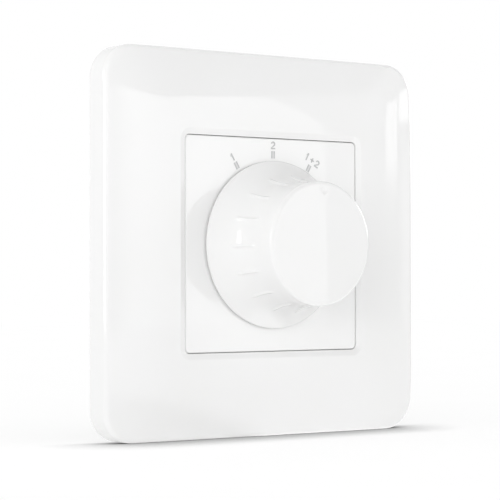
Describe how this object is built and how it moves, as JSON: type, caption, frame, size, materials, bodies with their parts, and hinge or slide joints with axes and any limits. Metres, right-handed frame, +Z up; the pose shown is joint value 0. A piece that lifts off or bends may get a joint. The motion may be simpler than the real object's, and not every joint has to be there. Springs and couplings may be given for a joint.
{
  "type": "speaker selector switch",
  "caption": "Square wall plate with a ribbed rotary knob that switches loudspeaker lines between one pair, the other or both; rotary switch and screw terminals behind it.",
  "frame": {"origin": "on the knob's axis in the wall plane, the centre of the screw slots of the support frame", "axes": "-Y points out of the wall along the knob's axis, +X right as seen from the room, +Z up"},
  "size_m": [0.0808, 0.0498, 0.0808],
  "materials": {
    "white_plastic": "glossy white, moulded",
    "dial_ink": "grey pad print",
    "zinc_steel": "zinc-plated sheet steel",
    "cast_zinc": "die cast, dull",
    "nickel_brass": "nickel-plated brass",
    "shaft_aluminium": "turned",
    "black_plastic": "satin black",
    "brown_laminate": "phenolic laminate",
    "ivory_plastic": "natural acetal",
    "spring_steel": "spring steel",
    "contact_brass": "bright brass",
    "board_laminate": "green solder mask",
    "terminal_plastic": "green, satin",
    "terminal_steel": "zinc-plated",
    "solder": "bright tin"
  },
  "bodies": {
    "base": {"board_screws": "zinc_steel", "board_spacers": "nickel_brass", "bushing_nut": "zinc_steel", "centre_plate": "white_plastic", "circuit_board": "board_laminate", "cover_frame": "white_plastic", "detent_spring": "spring_steel", "dial_marks": "dial_ink", "fixed_contacts": "contact_brass", "lock_washer": "zinc_steel", "mounting_bushing": "cast_zinc", "plate_nut": "nickel_brass", "plate_washer": "zinc_steel", "solder_joints": "solder", "spacer_screws": "zinc_steel", "stator": "brown_laminate", "stop_ring": "zinc_steel", "support_frame": "zinc_steel", "switch_housing": "black_plastic", "terminal_block_first": "terminal_plastic", "terminal_block_input": "terminal_plastic", "terminal_block_second": "terminal_plastic", "terminal_clamps": "terminal_steel", "terminal_pins": "contact_brass", "terminal_screws": "terminal_steel", "tie_rivets": "shaft_aluminium"},
    "knob_and_rotor": {"contact_springs": "spring_steel", "detent_wheel": "ivory_plastic", "front_retaining_ring": "zinc_steel", "knob": "white_plastic", "knob_clip": "spring_steel", "moving_contacts": "contact_brass", "rear_retaining_ring": "zinc_steel", "rotor": "black_plastic", "shaft": "shaft_aluminium", "stop_arm": "zinc_steel"}
  },
  "joints": [
    {"name": "knob_turn", "type": "hinge", "parent": "base", "child": "knob_and_rotor", "pos_m": [0, 0, 0], "axis": [0, 1, 0], "range_deg": [-30, 30], "deforming": ["detent_spring"]}
  ]
}
